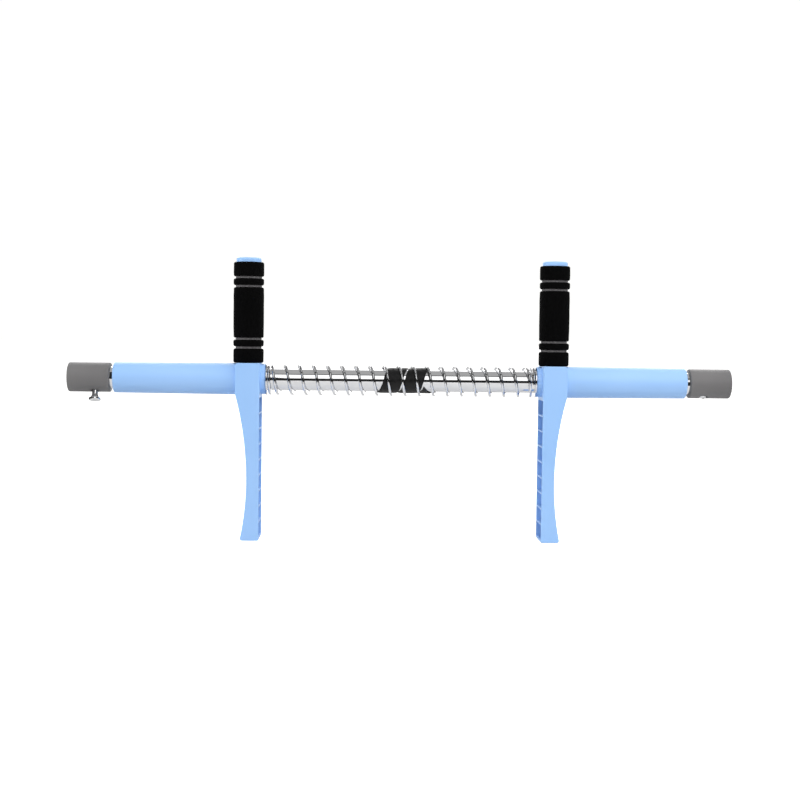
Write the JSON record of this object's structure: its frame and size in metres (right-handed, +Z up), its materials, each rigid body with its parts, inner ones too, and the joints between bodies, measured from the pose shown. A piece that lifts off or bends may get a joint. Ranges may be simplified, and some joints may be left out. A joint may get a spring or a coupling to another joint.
{
  "type": "spring press exercise bar",
  "caption": "Chromed bar with two sliding handled arms that squeeze a long spring between them, for arm, chest and thigh presses.",
  "frame": {"origin": "on the floor, midway between the tips of the two arms", "axes": "+X along the bar to the right, +Y to the back, +Z up through the foam grips"},
  "size_m": [0.744, 0.045, 0.3155],
  "materials": {
    "chrome": "bright chrome plate on steel",
    "screw_steel": "bright plated steel",
    "blue_plastic": "moulded light blue plastic, satin",
    "grey_plastic": "moulded grey plastic, fine texture",
    "bush_plastic": "natural acetal",
    "grey_foam": "closed-cell foam",
    "black_foam": "closed-cell foam, skinned",
    "black_tape": "satin vinyl tape"
  },
  "bodies": {
    "bar": {"guide_tube": "chrome", "centre_wrap": "black_tape", "compression_spring": "chrome", "right_end_cap": "grey_plastic", "right_thread_insert": "screw_steel", "right_lock_screw": "screw_steel"},
    "left_seat": {"left_spring_washer": "chrome"},
    "right_seat": {"right_spring_washer": "chrome"},
    "left_carriage": {"left_press_arm": "blue_plastic", "left_inner_bush": "bush_plastic", "left_outer_bush": "bush_plastic", "left_grip_core": "grey_foam", "left_grip_foam": "black_foam", "left_grip_cap": "blue_plastic"},
    "right_carriage": {"right_press_arm": "blue_plastic", "right_inner_bush": "bush_plastic", "right_outer_bush": "bush_plastic", "right_grip_core": "grey_foam", "right_grip_foam": "black_foam", "right_grip_cap": "blue_plastic"},
    "left_stop": {"left_end_cap": "grey_plastic", "left_thread_insert": "screw_steel"},
    "thumb_screw": {"left_thumb_screw": "screw_steel"}
  },
  "joints": [
    {"name": "left_press", "type": "slide", "parent": "bar", "child": "left_seat", "axis": [1, 0, 0], "range_m": [0, 0.1], "stiffness_N_per_m": 2400, "deforming": ["compression_spring"]},
    {"name": "right_press", "type": "slide", "parent": "bar", "child": "right_seat", "axis": [-1, 0, 0], "range_m": [0, 0.1], "stiffness_N_per_m": 2400, "deforming": ["compression_spring"]},
    {"name": "left_swivel", "type": "hinge", "parent": "left_seat", "child": "left_carriage", "pos_m": [-0.1715, 0, 0.18], "axis": [1, 0, 0], "continuous": true},
    {"name": "right_swivel", "type": "hinge", "parent": "right_seat", "child": "right_carriage", "pos_m": [0.1715, 0, 0.18], "axis": [1, 0, 0], "continuous": true},
    {"name": "left_cap_pull", "type": "slide", "parent": "bar", "child": "left_stop", "axis": [-1, 0, 0], "range_m": [0, 0.04]},
    {"name": "thumb_screw_turn", "type": "hinge", "parent": "left_stop", "child": "thumb_screw", "pos_m": [-0.342, 0, 0.18], "axis": [0, -0.309, -0.9511], "range_deg": [0, 360]}
  ]
}
